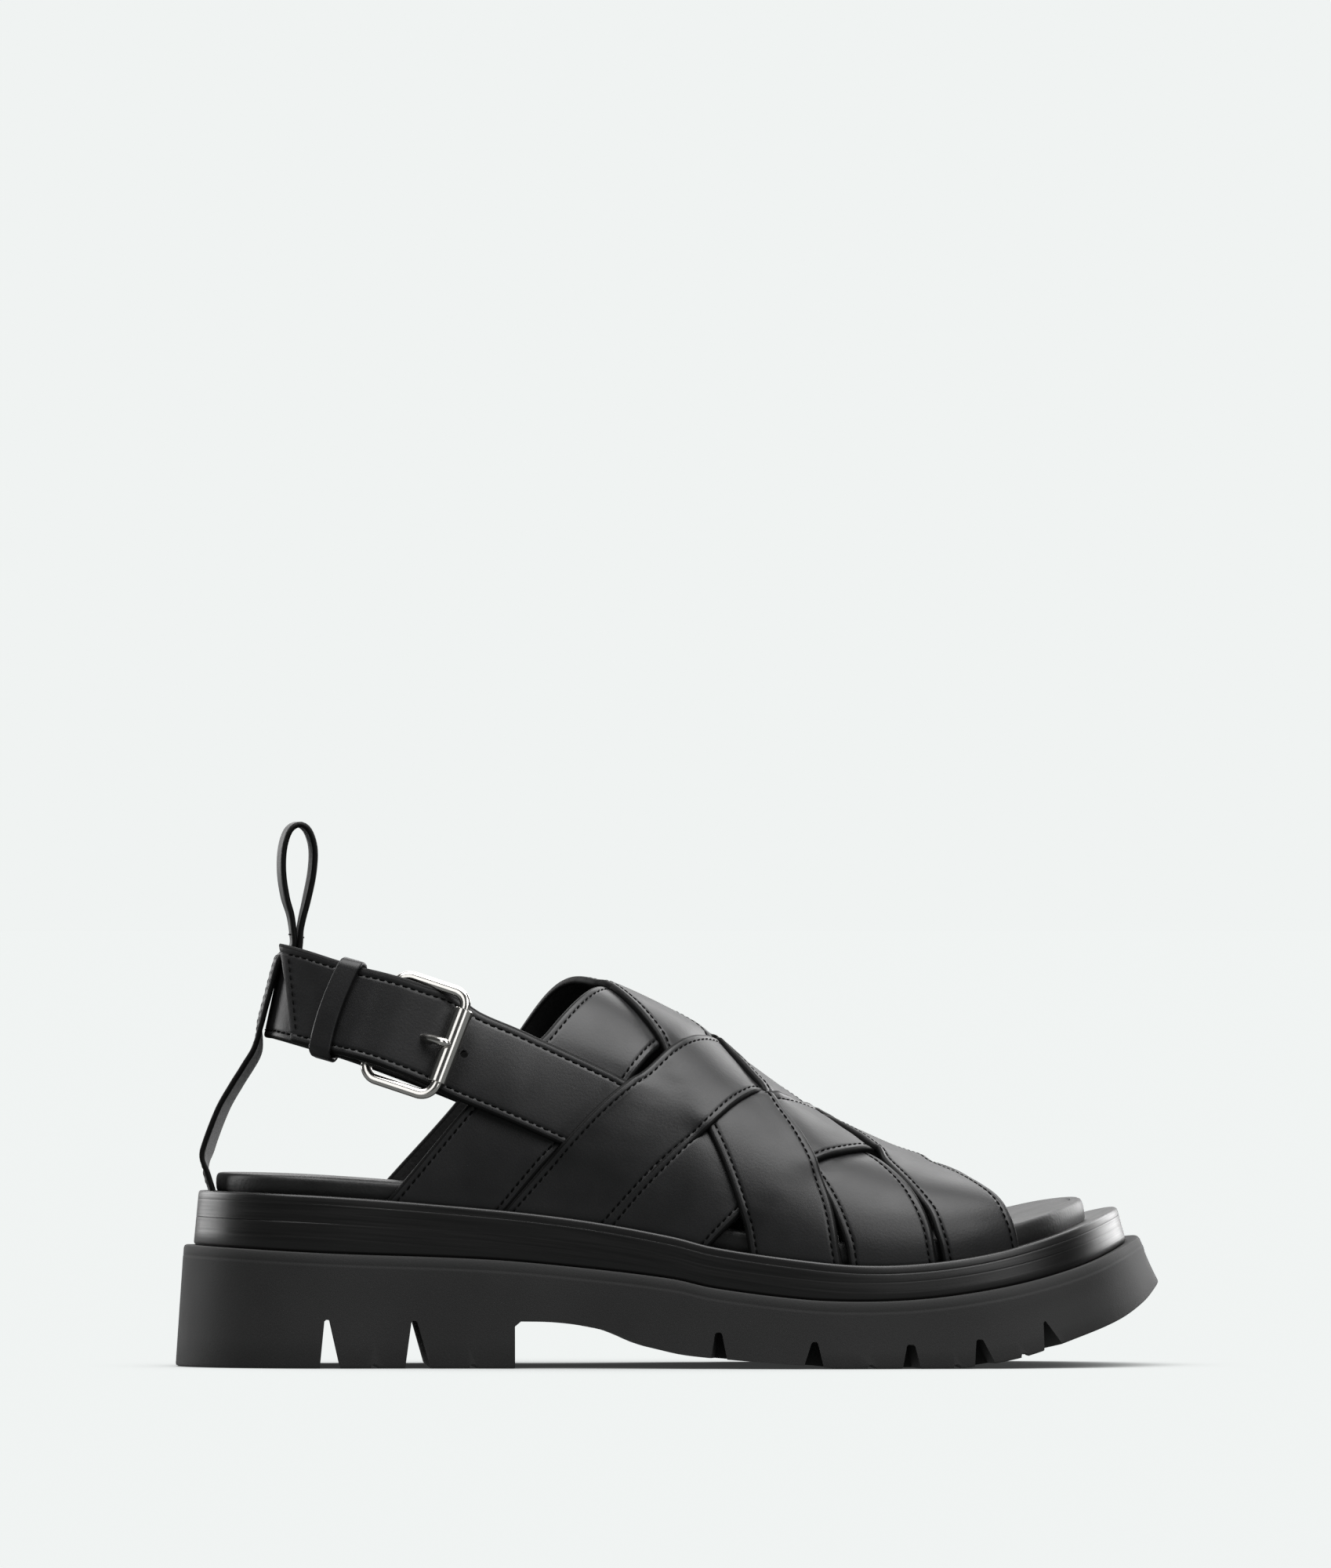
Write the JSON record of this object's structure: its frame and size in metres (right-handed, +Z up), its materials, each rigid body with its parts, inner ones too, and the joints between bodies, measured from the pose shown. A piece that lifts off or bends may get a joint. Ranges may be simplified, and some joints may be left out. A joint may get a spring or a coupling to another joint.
{
  "type": "strappy sandal",
  "caption": "Right strappy sandal: woven leather straps on a lugged rubber sole with stacked midsole, buckled heel sling and rear pull loop",
  "frame": {"origin": "on the ground under the middle of the sole's length and width", "axes": "+X toward the toe, +Y toward the medial side, +Z up; the buckle is on the lateral side at -Y"},
  "size_m": [0.3014, 0.1198, 0.1657],
  "materials": {
    "rubber": "matte",
    "stacked_leather": "burnished satin",
    "footbed_leather": "fine pebble grain",
    "strap_leather": "smooth satin",
    "buckle_metal": "polished"
  },
  "bodies": {
    "root": {"outsole": "rubber", "midsole": "stacked_leather", "footbed": "footbed_leather", "upper": "strap_leather", "buckle_strap": "strap_leather", "heel_strap": "strap_leather", "keeper": "strap_leather", "pull_strap": "strap_leather", "buckle_frame": "buckle_metal", "buckle_roller": "buckle_metal", "buckle_prong": "buckle_metal"}
  },
  "joints": []
}
